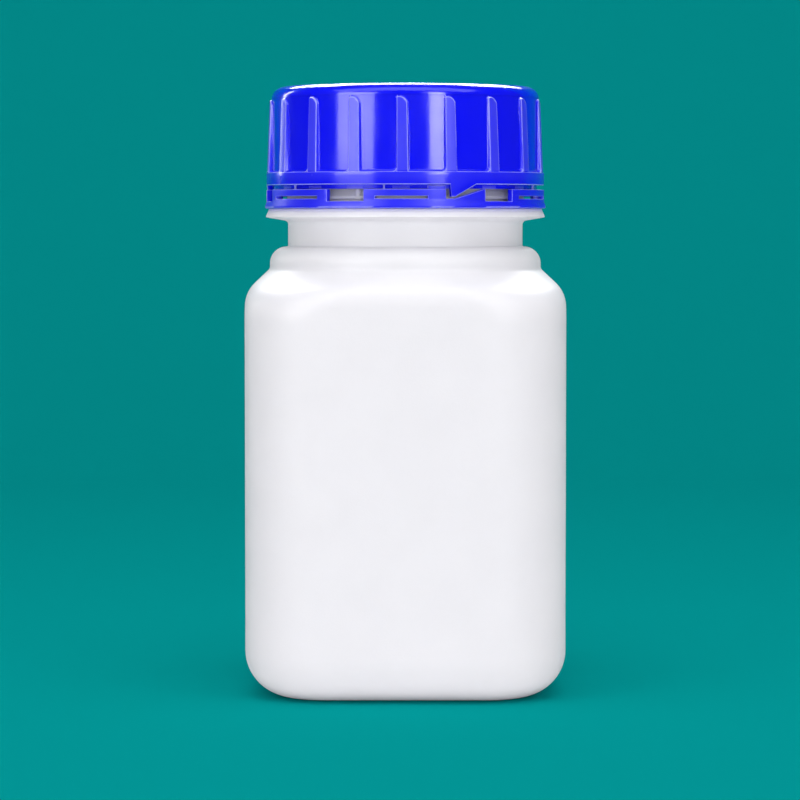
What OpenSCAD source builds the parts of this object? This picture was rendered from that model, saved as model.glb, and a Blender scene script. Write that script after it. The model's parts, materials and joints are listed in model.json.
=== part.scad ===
// Square wide-mouth bottle with a threaded neck, a ribbed screw cap, the
// break-away band under the cap, and the cap's two-layer liner.
// Millimetres, +Z up. The origin is the middle of the base, on the table.
// Angles around the axis start at the front (-Y) and grow towards +X.

/* [Body] */
// Width of the body across its flat sides
body_w = 62; // [58:0.5:70]
// Radius of the body's upright corners, seen from above
corner_r = 15.8; // [13:0.1:20]
// Radius that turns the base up into the sides
base_r = 8.9; // [6:0.1:11]
// Height of the straight sides
side_h = 75.6; // [60:0.2:110]
// Wall thickness of the blown body
wall = 1.3; // [0.9:0.1:1.8]
// Depth of the hollow under the base
push_up = 1.6; // [0.8:0.1:2.5]
// Diameter of the hollow under the base
push_up_d = 38; // [30:0.5:42]

/* [Shoulder] */
// Radius of the shoulder where it leaves a flat side
shoulder_r = 5.95; // [4.5:0.05:7]
// Radius of the shoulder where it turns down at the upright corners
crown_r = 8; // [6:0.5:9.5]
// Slope of the shoulder towards the upright corners, in degrees
crown_slope = 25; // [15:1:35]
// Diameter of the round collar on top of the shoulder
collar_d = 53.3; // [51.5:0.1:55]
// Height of the collar above the shoulder
collar_h = 4.6; // [4.2:0.1:7]
// Radius of the collar's upper edge
collar_round = 3.3; // [2.2:0.1:3.5]

/* [Neck] */
// Diameter of the waist between the collar and the skirt ring
waist_d = 46.14; // [45.4:0.1:46.6]
// Height of the waist, from the collar to the skirt ring's edge
waist_h = 5.95; // [4.5:0.05:9]
// Diameter of the skirt ring at its sharp edge
skirt_d = 55; // [53:0.1:57]
// Height of the skirt ring's sloping rim
skirt_rim_h = 1.3; // [0.8:0.1:2]
// Diameter of the neck at the root of its thread
neck_d = 44.4; // [43.8:0.1:45]
// Height of the neck above the skirt ring
neck_h = 21.25; // [20:0.05:26]
// Diameter of the mouth
bore_d = 41.8; // [40:0.1:42.4]
// Diameter of the bead that holds the band down
bead_d = 46.6; // [46:0.1:47]
// Height of the bead's underside above the skirt ring
bead_z = 1.95; // [1.7:0.05:2.6]

/* [Thread] */
// Rise of the thread in one turn
pitch = 5; // [4:0.1:6]
// Turns of thread on the neck
neck_turns = 2; // [1.5:0.25:2]
// Turns of thread in the cap
cap_turns = 1.5; // [1:0.25:1.75]
// Depth of the neck's thread
thread_depth = 1.3; // [1:0.05:1.6]
// Width of each thread at its crest
thread_crest_w = 0.9; // [0.6:0.05:1.2]
// Play between the two threads' flanks
thread_play = 0.2; // [0.15:0.01:0.4]

/* [Cap] */
// Diameter of the cap's wall at its top
cap_d = 52.6; // [52.2:0.1:55]
// Wall thickness of the cap's skirt
cap_wall = 1.35; // [1.1:0.05:1.6]
// Thickness of the cap's top
cap_top_t = 1.4; // [1.2:0.1:2.5]
// Radius of the cap's top edge
cap_edge_r = 2.4; // [1:0.1:3.5]
// Widening of the cap's diameter from top to flange
cap_draft = 0.4; // [0:0.1:1]
// Number of grip ribs
rib_count = 18; // [9:1:24]
// Width of a rib at its foot
rib_w = 2.5; // [1.5:0.1:3.5]
// Height of a rib above the wall, at its top
rib_out_top = 0.4; // [0.2:0.05:0.8]
// Height of a rib above the wall, at the flange
rib_out_low = 0.6; // [0.3:0.05:0.8]
// Height of the plain flange under the ribs
flange_h = 2.55; // [1.5:0.05:4]
// Distance that the flange stands out from the wall above it
flange_out = 0.8; // [0.6:0.05:1.2]

/* [Band] */
// Height of the break-away band
band_h = 3.65; // [3.4:0.05:5]
// Wall thickness of the band
band_wall = 1.2; // [0.9:0.05:1.4]
// Open height between the band and the cap's flange
break_gap = 0.85; // [0.5:0.05:1.2]
// Flare of the band's lower edge
lip_flare = 0.3; // [0:0.05:0.5]
// Height of the closed ring at the bottom of the band
ring_h = 1.35; // [1.2:0.05:1.6]
// Height of the thin slots through the band
slot_h = 0.55; // [0.3:0.05:0.8]
// Width of one break-away tie
tie_w = 0.5; // [0.4:0.05:1.2]
// Thickness of the hooks that hold the band down
hook_t = 0.8; // [0.5:0.05:0.9]
// Height of the low step beside each ramp, above the band
step_h = 0.65; // [0.3:0.05:0.7]

/* [Liner] */
// Thickness of the foam wad
wad_t = 1.1; // [0.8:0.05:2]
// Thickness of the film that faces the wad
facing_t = 0.2; // [0.1:0.05:0.4]

/* [Hidden] */
$fn = 96;

white = [0.93, 0.93, 0.94];
blue = [0.07, 0.09, 0.95];
foam = [0.95, 0.95, 0.93];
film = [0.86, 0.87, 0.88];

run_clear = 0.2;      // between the band and the bottle, and around the liner
sink = 0.3;           // how deep a thread's root lies in its wall
over = 1;             // how far a cutter passes what it cuts
front = -90;          // the front's direction, from +X

// Shoulder, collar, waist and skirt ring, from the bottom up
body_half = body_w / 2;
corner_at = body_half - corner_r;
foot_r = 1;                                   // concave turn at the collar's foot
foot_rad = collar_d / 2 + foot_r * (1 - cos(45));
slope_sum = body_half - shoulder_r + shoulder_r * sqrt(2) + side_h;
foot_z = slope_sum - foot_rad;
crown_x = corner_at * sqrt(2) + corner_r - crown_r;
crown_z = foot_z - (crown_x - foot_rad) * tan(crown_slope) - crown_r / cos(crown_slope);
crown_edge = crown_x + crown_r + over;
collar_rad = collar_d / 2;
collar_top = foot_z + collar_h;
waist_rad = waist_d / 2;
skirt_rad = skirt_d / 2;
skirt_edge_z = collar_top + waist_h;
skirt_tilt = 13;                              // slope of the skirt ring's underside
skirt_root_r = 1.2;
skirt_rim_in = 0.7;                           // how far the rim slopes in
skirt_top = skirt_edge_z + skirt_rim_h;

// Neck, bead and lugs
neck_rad = neck_d / 2;
bore_rad = bore_d / 2;
bead_rad = bead_d / 2;
lip_z = skirt_top + neck_h;
lip_r = 0.35;
bead_t = 0.6;
waist_bore = waist_rad - wall;
collar_bore = collar_rad - wall;
lug_t = 1;
lug_h = 2.4;
lug_angles = [97, 217, 337];

// Threads
flank = 0.4;                                  // half-width gained per unit of depth
thread_rad = neck_rad + thread_depth;
thread_crest_gap = 0.55;
cap_crest = neck_rad + thread_crest_gap;
thread_end = 1.6;                             // plain neck above the thread
thread_low = lip_z - thread_end - pitch * neck_turns - thread_crest_w;
mesh_drop = thread_crest_w + flank * (thread_rad - cap_crest) + thread_play;
thread_steps = 40;                            // per turn
fade = 30;                                    // degrees over which a thread's end fades

// Band and cap, from the skirt ring up
band_z = skirt_top + run_clear;
band_top = band_z + band_h;
flange_z = band_top + break_gap;
flange_top = flange_z + flange_h;
cap_rad = cap_d / 2;
cap_low_rad = cap_rad + cap_draft / 2;
cap_bore = cap_rad - cap_wall;
flange_rad = cap_low_rad + flange_out;
wad_z = lip_z + facing_t;
top_in = wad_z + wad_t;
cap_top = top_in + cap_top_t;
band_rad = flange_rad;
band_bore = band_rad - band_wall;

// The band's pattern, which repeats three times around it
repeats = 3;
third = 360 / repeats;
ring_z = band_z + ring_h;
slots = [[-12.3, 8.9], [53.1, 81.7]];
windows = [[34, 48.5], [86.7, 102.9]];
ties = [-8.8, 67.6];
tie_in = 0.3;                                 // how far the ties stand behind the bore
tie_t = 0.5;
hooks = [[-15, 14], [51, 84]];
step = [8.9, 16.4];
step_in = 0.35;                               // how far the step lies behind the face
valley = [16.4, 20.2, 33.4, 34.6];            // wall, floor's end, ramp's end, cut's end
valley_z = band_top - 1.8;
slot_z = valley_z - 0.05;
dog = [18.6, 20.2, 29.5];                     // upright face, tip's end, slope's end
dog_z = valley_z + 0.3;
hook_rad = neck_rad + thread_crest_gap;
hook_lift = 0.35;
hook_slope = 0.2;
hook_z = band_z + hook_lift;
lip_chamfer = 0.15;
lip_low = 0.2;                                // where the lip is widest
lip_high = 0.5;                               // where it starts to narrow

bead_out = 0.5;                               // the liner's retaining bead
bead_rise = 1;
bead_drop = 0.15;

rib_pitch = 360 / rib_count;
rib_start = -0.8;
rib_top = cap_top - 2.6;
rib_draft = 0.25;                             // a rib's side leans in, over its height
rib_foot_r = 0.8;
rib_foot_sink = 0.08;                         // how far the foot runs into the flange
rib_head_r = 1.5;
rib_nose_r = 0.3;

// Points on an arc, in the plane of an outline
function arc(x, z, r, from, to, steps = 12) =
    [for (i = [0:steps]) let (a = from + (to - from) * i / steps)
        [x + r * cos(a), z + r * sin(a)]];

// Distance along the tangent at radius r, for an angle from the cut's middle
function side_at(angle, mid, r) = r * tan(angle - mid);

// Half section of the body from the base to the collar, as wide as half and
// grown inwards by the thickness t. It ends where the body's half-width is stop.
module side_outline(half, t, stop) {
    top = slope_sum - t * sqrt(2) - stop;
    edge = half - t;
    low = base_r;
    bend = shoulder_r - t;
    shift = body_half - half;
    polygon([
        [0, t], [half - base_r, t], [edge, low], [edge, side_h],
        [half - shoulder_r + bend * cos(45), side_h + bend * sin(45)],
        [stop - shift, top], [0, top]
    ]);
    translate([half - base_r, base_r]) circle(base_r - t);
    translate([half - shoulder_r, side_h]) circle(bend);
}

module half_outline(half, t, stop) {
    intersection() {
        side_outline(half, t, stop);
        square([body_w, lip_z]);
    }
}

// The body's form with its flat sides, upright corners and rounded base,
// grown inwards by t, and closed by the crown over its corners.
module body_form(t, stop) {
    crown = crown_r - t;
    turn_x = crown_x + crown * sin(crown_slope);
    turn_z = crown_z + crown * cos(crown_slope);
    top = slope_sum - t * sqrt(2) - stop;
    intersection() {
        union() {
            for (turn = [0, 90]) rotate([90, 0, turn])
                linear_extrude(2 * corner_at, center = true)
                    for (side = [0, 1]) mirror([side, 0])
                        half_outline(body_half, t, stop);
            for (turn = [0:90:270]) rotate(turn)
                translate([corner_at, corner_at])
                    rotate_extrude(angle = 90)
                        half_outline(corner_r, t, stop);
        }
        rotate_extrude()
            intersection() {
                square([crown_edge, top]);
                union() {
                    square([crown_edge, crown_z]);
                    translate([crown_x, crown_z]) circle(crown);
                    polygon([[0, crown_z - over], [crown_x, crown_z - over],
                        [turn_x, turn_z], [stop, turn_z + (turn_x - stop) * tan(crown_slope)],
                        [stop, top + over], [0, top + over]]);
                }
            }
    }
}

// Outline of everything round above the shoulder
module neck_outline() {
    root_x = waist_rad + skirt_root_r;
    root_z = skirt_edge_z - (skirt_rad - root_x) * tan(skirt_tilt)
        - skirt_root_r / cos(skirt_tilt);
    collar_turn = collar_rad - collar_round;
    collar_turn_z = collar_top - collar_round;
    waist_turn = collar_turn - waist_rad;
    polygon(concat(
        [[0, foot_z - over], [waist_rad, foot_z - over], [waist_rad, foot_z]],
        arc(collar_rad + foot_r, foot_z + foot_r * sin(45), foot_r, 225, 180, 6),
        arc(collar_turn, collar_turn_z, collar_round, 0, 90),
        arc(waist_rad + waist_turn, collar_top + waist_turn, waist_turn, 270, 180, 4),
        arc(root_x, root_z, skirt_root_r, 180, 90 + skirt_tilt, 8),
        [[skirt_rad, skirt_edge_z], [skirt_rad - skirt_rim_in, skirt_top]],
        [[neck_rad, skirt_top], [neck_rad, skirt_top + bead_z]],
        [[bead_rad, skirt_top + bead_z], [bead_rad, skirt_top + bead_z + bead_t]],
        [[neck_rad, skirt_top + bead_z + bead_t + (bead_rad - neck_rad)]],
        arc(neck_rad - lip_r, lip_z - lip_r, lip_r, 0, 90, 4),
        [[0, lip_z]]
    ));
}

// Outline of the mouth and the hollow behind the collar
module mouth_outline() {
    turn = collar_round - wall;
    turn_z = collar_top - collar_round;
    polygon(concat(
        [[0, crown_z], [waist_bore, crown_z], [waist_bore, foot_z - 2 * over]],
        [[collar_bore, foot_z - 2 * over]],
        arc(collar_bore - turn, turn_z, turn, 0, 90, 8),
        [[waist_bore, turn_z + turn], [waist_bore, skirt_edge_z]],
        [[bore_rad, skirt_top], [bore_rad, lip_z - lip_r]],
        [[bore_rad + lip_r, lip_z], [bore_rad + lip_r, lip_z + over], [0, lip_z + over]]
    ));
}

// A thread as one closed ribbon: root and crest radii, start height and turns.
// The crest sinks back to the root at both ends.
module thread(root, crest, low, turns, start) {
    steps = round(thread_steps * turns);
    depth = abs(crest - root);
    grow = crest > root ? 1 : -1;
    points = [for (i = [0:steps])
        let (
            a = 360 * turns * i / steps,
            ends = min(1, a / fade, (360 * turns - a) / fade),
            out = depth * max(ends, 0.04),
            z = low + pitch * a / 360,
            crest_half = thread_crest_w / 2 + flank * (depth - out),
            root_half = thread_crest_w / 2 + flank * (depth + sink)
        )
        each [for (corner = [
            [-sink, -root_half], [out, -crest_half], [out, crest_half], [-sink, root_half]
        ])
            let (r = root + grow * corner[0], turn = start + a)
            [r * cos(turn), r * sin(turn), z + corner[1]]]];
    sides = [for (i = [0:steps - 1], k = [0:3])
        let (n = (k + 1) % 4, p = 4 * i)
        each [[p + k, p + 4 + k, p + n], [p + n, p + 4 + k, p + 4 + n]]];
    last = 4 * steps;
    caps = [[0, 1, 2], [0, 2, 3], [last + 2, last + 1, last], [last + 3, last + 2, last]];
    faces = concat(sides, caps);
    polyhedron(points, grow < 0 ? faces : [for (f = faces) [f[2], f[1], f[0]]]);
}

// A block between two angles, two radii and two heights
module sector(from, to, r_in, r_out, low, high) {
    rotate(front + from)
        rotate_extrude(angle = to - from)
            translate([r_in, low]) square([r_out - r_in, high - low]);
}

// An outline drawn in the tangent plane at an angle, carried outwards
module radial(angle, r_in, r_out) {
    rotate(front + angle + 90)
        translate([0, -r_in, 0])
            rotate([90, 0, 0])
                linear_extrude(r_out - r_in) children();
}

module bottle() {
    dome_rad = (pow(push_up_d / 2, 2) + pow(push_up, 2)) / (2 * push_up);
    color(white) difference() {
        union() {
            body_form(0, foot_rad);
            rotate_extrude() neck_outline();
            for (angle = lug_angles)
                radial(angle, neck_rad - sink, bead_rad)
                    translate([-lug_t / 2, skirt_top + bead_z]) square([lug_t, lug_h]);
            thread(neck_rad, thread_rad, thread_low, neck_turns, front);
        }
        difference() {
            union() {
                body_form(wall, collar_bore);
                rotate_extrude() mouth_outline();
            }
            translate([0, 0, push_up - dome_rad]) sphere(dome_rad + wall);
        }
        translate([0, 0, push_up - dome_rad]) sphere(dome_rad);
    }
}

// Outline of one grip rib, seen from the front: its left side stands upright
// and ends in a round foot, its right side leans, and its head is rounded.
module rib_outline() {
    left = -rib_w / 2;
    right = rib_w / 2;
    head_x = right - rib_draft - rib_head_r;
    polygon(concat(
        [[right, flange_top - over]],
        arc(head_x, rib_top - rib_head_r, rib_head_r, 0, 90, 5),
        arc(left + rib_nose_r, rib_top - rib_nose_r, rib_nose_r, 90, 180, 3),
        arc(left - rib_foot_r, flange_top + rib_foot_r - rib_foot_sink,
            rib_foot_r, 0, -90, 5),
        [[left - rib_foot_r, flange_top - over]]
    ));
}

// Half section of the cap: its skirt with the flange, its top, and the low
// bead inside that keeps the liner in
module cap_outline() {
    edge_x = cap_rad - cap_edge_r;
    bead_low = lip_z - bead_drop - bead_rise;
    bead_high = lip_z - bead_drop;
    polygon(concat(
        [[cap_bore, flange_z], [flange_rad, flange_z], [flange_rad, flange_top]],
        [[cap_low_rad, flange_top]],
        arc(edge_x, cap_top - cap_edge_r, cap_edge_r, 0, 90, 8),
        [[0, cap_top], [0, top_in], [cap_bore, top_in], [cap_bore, bead_high]],
        [[cap_bore - bead_out, bead_high], [cap_bore, bead_low]]
    ));
}

module grip_ribs() {
    intersection() {
        for (i = [0:rib_count - 1])
            radial(rib_start + i * rib_pitch, cap_bore + sink, flange_rad) rib_outline();
        rotate_extrude() polygon([
            [0, flange_top - over], [cap_low_rad + rib_out_low, flange_top - over],
            [cap_rad + rib_out_top, rib_top], [0, rib_top + over]
        ]);
    }
}

// Dogs under the flange, which stand in the band's ramps
module dogs() {
    mid = (dog[0] + dog[2]) / 2;
    face = side_at(dog[0], mid, band_rad);
    tip = side_at(dog[1], mid, band_rad);
    slope = side_at(dog[2], mid, band_rad) - tip;
    intersection() {
        for (i = [0:repeats - 1])
            radial(mid + i * third, cap_bore, flange_rad + over)
                polygon([
                    [face, flange_z + over], [face, dog_z], [tip, dog_z],
                    [tip + slope * (1 + over / (flange_z - dog_z)), flange_z + over]
                ]);
        rotate_extrude()
            translate([band_bore, dog_z]) square([band_wall, flange_z + sink - dog_z]);
    }
}

module screw_cap() {
    color(blue) {
        rotate_extrude() cap_outline();
        grip_ribs();
        dogs();
        thread(cap_bore, cap_crest, thread_low - mesh_drop, cap_turns, front);
    }
}

module tamper_band() {
    valley_mid = (valley[0] + valley[3]) / 2;
    color(blue) difference() {
        union() {
            rotate_extrude() polygon([
                [band_bore, band_z], [band_rad + lip_flare - lip_chamfer, band_z],
                [band_rad + lip_flare, band_z + lip_low],
                [band_rad + lip_flare, band_z + lip_high],
                [band_rad, ring_z], [band_rad, band_top], [band_bore, band_top]
            ]);
            for (i = [0:repeats - 1])
                sector(step[0] + i * third, step[1] + i * third,
                    band_bore + sink, band_rad - step_in, band_top - sink, band_top + step_h);
            for (i = [0:repeats - 1], hook = hooks)
                rotate(front + hook[0] + i * third)
                    rotate_extrude(angle = hook[1] - hook[0]) polygon([
                        [band_bore + sink, hook_z - hook_slope],
                        [hook_rad, hook_z + hook_slope],
                        [hook_rad, hook_z + hook_t], [band_bore + sink, hook_z + hook_t]
                    ]);
        }
        for (i = [0:repeats - 1]) {
            for (w = windows)
                sector(w[0] + i * third, w[1] + i * third,
                    band_bore - over, band_rad + over, ring_z, band_top + over);
            for (s = slots)
                sector(s[0] + i * third, s[1] + i * third,
                    band_bore - over, band_rad + over, slot_z, slot_z + slot_h);
            radial(valley_mid + i * third, band_bore - over, band_rad + over)
                polygon([
                    [side_at(valley[0], valley_mid, band_rad), band_top + over],
                    [side_at(valley[0], valley_mid, band_rad), valley_z],
                    [side_at(valley[1], valley_mid, band_rad), valley_z],
                    [side_at(valley[2], valley_mid, band_rad), band_top],
                    [side_at(valley[3], valley_mid, band_rad), band_top + over]
                ]);
        }
    }
}

// The thin ties that tear when the cap is first turned
module break_ties() {
    half = tie_w / 2 / band_rad * 180 / PI;
    color(blue) for (i = [0:repeats - 1], tie = ties)
        sector(tie - half + i * third, tie + half + i * third,
            band_bore + tie_in, band_bore + tie_in + tie_t, band_top, flange_z);
}

module liner_wad() {
    color(foam) translate([0, 0, wad_z])
        cylinder(r = cap_bore - run_clear, h = wad_t);
}

module liner_facing() {
    color(film) translate([0, 0, lip_z])
        cylinder(r = cap_bore - run_clear, h = facing_t);
}

bottle();
screw_cap();
tamper_band();
break_ties();
liner_wad();
liner_facing();
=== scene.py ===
"""Finish of a square wide-mouth bottle: its blown body and threaded neck, the ribbed
screw cap, the break-away band with its ties, and the two-layer liner in the cap."""

import json
import math
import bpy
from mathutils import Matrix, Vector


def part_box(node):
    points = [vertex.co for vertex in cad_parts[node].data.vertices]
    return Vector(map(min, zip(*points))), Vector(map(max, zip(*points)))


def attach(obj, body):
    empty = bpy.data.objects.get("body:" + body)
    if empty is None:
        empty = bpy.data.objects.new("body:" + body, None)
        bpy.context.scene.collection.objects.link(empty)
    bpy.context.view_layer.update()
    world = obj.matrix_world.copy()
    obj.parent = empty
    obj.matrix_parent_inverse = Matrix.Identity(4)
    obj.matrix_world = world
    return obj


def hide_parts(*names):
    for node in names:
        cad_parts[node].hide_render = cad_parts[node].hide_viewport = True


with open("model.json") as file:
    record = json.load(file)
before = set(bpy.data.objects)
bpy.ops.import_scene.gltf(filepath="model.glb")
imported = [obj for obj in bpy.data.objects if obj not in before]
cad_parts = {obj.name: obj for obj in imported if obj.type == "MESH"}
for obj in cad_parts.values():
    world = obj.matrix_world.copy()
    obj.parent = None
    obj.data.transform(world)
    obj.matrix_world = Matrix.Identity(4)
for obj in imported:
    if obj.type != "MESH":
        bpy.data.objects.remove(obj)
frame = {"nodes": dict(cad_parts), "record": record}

from types import SimpleNamespace

import bmesh
import bpy
from bpy.props import FloatProperty, FloatVectorProperty, IntProperty, PointerProperty
from bpy.types import Operator, Panel, PropertyGroup
from mathutils import Vector, noise

bl_info = {
    "name": "Square Wide-mouth Bottle",
    "version": (1, 0, 0),
    "blender": (4, 5, 0),
    "location": "3D View > Sidebar > Bottle",
    "description": "Builds a square bottle, its ribbed cap, break-away band and liner",
    "category": "Object",
}

MM = 0.001
BOX = {name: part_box(name) for name in frame["nodes"]}
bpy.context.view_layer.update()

REPEATS = 3                 # the band's pattern and the dogs go round three times
THIRD = 360 / REPEATS
MERGE = 0.002 * MM          # points closer than this are one


# ---------------------------------------------------------------- settings

def length(label, about, value):
    """A size setting, whose default is given in millimetres."""
    return FloatProperty(name=label, description=about, default=value * MM, min=0,
                         precision=5, unit="LENGTH", subtype="DISTANCE")


def degrees(label, about, value):
    """An angle setting, whose default is given in degrees."""
    return FloatProperty(name=label, description=about, default=math.radians(value),
                         unit="ROTATION", subtype="ANGLE")


def share(label, about, value):
    """A setting between nothing and all of something."""
    return FloatProperty(name=label, description=about, default=value, min=0, max=1,
                         subtype="FACTOR")


def colour(label, about, value):
    """A colour setting, in linear light."""
    return FloatVectorProperty(name=label, description=about, default=value, size=3,
                               min=0, max=1, subtype="COLOR")


class BodySettings(PropertyGroup):
    """Sizes of the blown body, from its base to the collar."""
    width: length("Width", "Width across the flat sides",
                  BOX["bottle"][1].x * 2 / MM)
    corner_radius: length("Corner radius", "Radius of the upright corners", 15.8)
    base_radius: length("Base radius", "Radius that turns the base into the sides", 8.9)
    side_height: length("Side height", "Height at which the shoulder begins", 75.6)
    wall: length("Wall", "Thickness of the blown wall", 1.3)
    push_up: length("Push-up", "Depth of the hollow under the base", 1.6)
    push_up_width: length("Push-up width", "Diameter of the hollow under the base", 38)
    shoulder_radius: length("Shoulder radius", "Radius where a flat side ends", 5.95)
    crown_radius: length("Crown radius", "Radius of the shoulder over the corners", 8)
    crown_slope: degrees("Crown slope", "Slope of the shoulder towards the corners", 25)
    bow: length("Bow", "How far a flat side sinks in at its middle", 0.12)
    ripple: length("Ripple", "Height of the blown wall's unevenness", 0.05)
    seam: length("Seam", "Height of the mould's parting line", 0.06)


class NeckSettings(PropertyGroup):
    """Sizes of the collar, the waist, the skirt ring and the threaded neck."""
    collar_width: length("Collar", "Diameter of the collar on the shoulder", 53.3)
    collar_height: length("Collar height", "Height of the collar", 4.6)
    collar_round: length("Collar round", "Radius of the collar's upper edge", 3.3)
    waist_width: length("Waist", "Diameter of the waist under the skirt ring", 46.14)
    waist_height: length("Waist height", "From the collar to the skirt's edge", 5.75)
    skirt_width: length("Skirt ring", "Diameter of the skirt ring's edge", 55)
    skirt_rim: length("Skirt rim", "Height of the skirt ring's sloping rim", 1.65)
    skirt_tilt: degrees("Skirt slope", "Slope of the skirt ring's underside", 10)
    skirt_root: length("Skirt root", "Radius under the skirt ring, at the waist", 0.8)
    width: length("Neck", "Diameter of the neck at its thread's root", 44.4)
    bore: length("Mouth", "Diameter of the mouth", 41.8)
    bead_width: length("Bead", "Diameter of the bead that holds the band", 46.6)
    bead_rise: length("Bead rise", "Height of the bead above the skirt ring", 1.8)
    thread_depth: length("Thread depth", "Depth of the neck's thread", 1.3)
    thread_pitch: length("Thread pitch", "Rise of the thread in one turn", 5)
    thread_crest: length("Thread crest", "Width of a thread's crest", 0.9)


class CapSettings(PropertyGroup):
    """Sizes of the screw cap."""
    width: length("Cap", "Diameter of the cap's wall at its top", 52.6)
    wall: length("Cap wall", "Thickness of the cap's wall", 1.35)
    top: length("Cap top", "Thickness of the cap's top", 1.4)
    edge_radius: length("Top edge", "Radius of the cap's top edge", 2.4)
    draft: length("Draft", "Widening of the cap's diameter towards its flange", 0.4)
    rib_count: IntProperty(name="Ribs", description="Number of grip ribs", default=18,
                           min=6, max=40)
    rib_width: length("Rib width", "Width of a rib at its foot", 2.3)
    rib_lean: length("Rib lean", "How far a rib's right side leans in", 0.25)
    rib_high: length("Rib rise, top", "Height of a rib at its head", 0.4)
    rib_low: length("Rib rise, foot", "Height of a rib at the flange", 0.76)
    rib_head: length("Rib head", "Radius of a rib's head", 1.5)
    rib_foot: length("Rib foot", "Radius of a rib's foot", 0.8)
    rib_soft: length("Rib edge", "Width of a rib's rounded edge", 0.3)
    flange_height: length("Flange", "Height of the flange under the ribs", 2.55)
    flange_out: length("Flange rise", "How far the flange stands out", 0.8)
    flange_soft: length("Flange edge", "Height of the flange's rounded upper edge", 0.45)
    lip_drop: length("Lip", "How far the wall's inner lip hangs behind the band", 0.8)
    lip_gap: length("Lip gap", "Gap between the inner lip and the band", 0.2)


class BandSettings(PropertyGroup):
    """Sizes of the break-away band and its ties."""
    wall: length("Band wall", "Thickness of the band", 1.2)
    flare: length("Flare", "Flare of the band's lower edge", 0.3)
    ring: length("Ring height", "Height of the closed ring at the bottom", 1.35)
    slot: length("Slot", "Height of the thin slots", 0.5)
    valley: length("Valley", "Depth of the dogs' ramps", 1.8)
    hook: length("Hook", "Thickness of the hooks inside", 0.8)
    tie_width: length("Tie", "Width of one tie at its ends", 0.5)
    tie_depth: length("Tie depth", "Thickness of one tie", 0.5)
    edge: length("Band edge", "Radius of the band's edges", 0.13)


class FinishSettings(PropertyGroup):
    """Colours and gloss of the plastics."""
    white: colour("Bottle white", "Colour of the blown polyethylene",
                  (0.861, 0.853, 0.895))
    blue: colour("Cap blue", "Colour of the moulded polypropylene",
                 (0.003, 0.006, 1.0))
    # pale blue painted on the cap's and band's outward edges: partly stress-whitened
    # wear, partly a painted highlight for the gleam of their rounded edges
    pale_blue: colour("Pale edge blue", "Colour of the cap's pale edges: rubbed wear and painted highlight",
                      (0.42, 0.43, 1.0))
    foam: colour("Wad", "Colour of the foamed wad", (0.82, 0.82, 0.8))
    film: colour("Facing", "Colour of the film on the wad", (0.8, 0.81, 0.82))


class StageSettings(PropertyGroup):
    """Floor, lamps and camera."""
    floor: colour("Floor", "Colour of the floor and backdrop", (0.001, 0.315, 0.315))
    fill: share("Fill", "Brightness of the even light around", 0.46)
    mirrored: share("Mirrored fill", "Brightness of the even light in reflections", 0.04)
    distance: length("Camera distance", "From the camera to the bottle's axis", 651)
    height: length("Camera height", "Height of the camera", 92.9)
    aim: length("Aim height", "Height at which the camera looks", 56.4)
    aside: length("Camera offset", "How far the camera stands to the left", 1.05)
    lens: FloatProperty(name="Lens", description="Focal length in millimetres",
                        default=148.5, min=20, max=300)


SETTINGS = {
    "bottle_body": BodySettings,
    "bottle_neck": NeckSettings,
    "bottle_cap": CapSettings,
    "bottle_band": BandSettings,
    "bottle_finish": FinishSettings,
    "bottle_stage": StageSettings,
}

# Name, azimuth and elevation in degrees, distance and size in metres, power in watts,
# then whether the lamp is mirrored in the surfaces and whether it lights them
LAMPS = (
    ("front", 0, 3, 1.2, (0.6, 0.3), 4.5, False, True),
    ("top", 0, 75, 0.8, (0.8, 0.6), 3.6, False, True),
    ("left softbox", -42.5, 17, 0.9, (0.53, 0.43), 4.3, True, False),
    ("right strip", 26.5, 17, 0.9, (0.2, 0.43), 2.7, True, False),
    ("left rear strip", -126, 17, 0.9, (0.07, 0.43), 0.8, True, False),
    ("top rear", 180, 50, 1, (1, 0.6), 24, True, False),
    ("top front strip", 0, 60, 0.9, (2, 0.5), 6.3, True, False),
    ("backlight", 180, 10, 1, (0.5, 0.6), 1, True, False),
)
LAMP_AIM = Vector((0, 0, 0.07))
BOUNCE = (0.9, 0.9, 0.9, 1)              # colour of the light that the floor throws back

# The floor's sweep in metres: front edge, start and radius of its bend, top, half width
FLOOR_FRONT, BEND_START, BEND_RADIUS, SWEEP_TOP, FLOOR_SIDE = -1.2, 0.5, 0.4, 1.6, 1.6

# Angles in degrees round the axis, from the front towards +X
LUG_ANGLES = (97, 217, 337)
SEAM_ANGLES = (90, 270)
RIB_START = -1.2
DOG = (18.6, 20.2, 29.5)                 # upright face, end of the tip, end of the slope
DOG_MARKS = (DOG[0] - 0.04, DOG[0] + 0.04, DOG[0] + 0.3, DOG[1], DOG[1] + 0.8,
             DOG[2] - 0.8, DOG[2])       # where a dog needs a column of the cap's skin
MARK_ROOM = 0.12                         # columns nearer to such a mark give way to it
BLOCK_STEP = (8.9, 16.4)
VALLEY = (16.4, 20.2, 33.4)              # wall, end of the floor, end of the ramp
SLOTS = ((-12.3, 8.9), (53.1, 81.7))
WINDOWS = ((34, 48.5), (86.7, 102.9))
HOOKS = ((-15, 14), (51, 84))
TIES = (-8.8, 67.6)
BAND_STEP = 2.2                          # widest column of the band

# Radii under the base in mm, then radii and heights where its hollow ends
HOLLOW = (0, 3, 6, 9, 12, 14.5, 16.5, 18)
HOLLOW_EDGE = ((18.6, 0.1), (19.0, 0.02), (19.6, 0))
# Bead that holds the liner: depth from the cap's bore and height over the neck's lip, mm
LINER_BEAD = ((0, -1.15), (0.42, -0.31), (0.5, -0.21), (0.44, -0.15), (0, -0.15))

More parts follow.
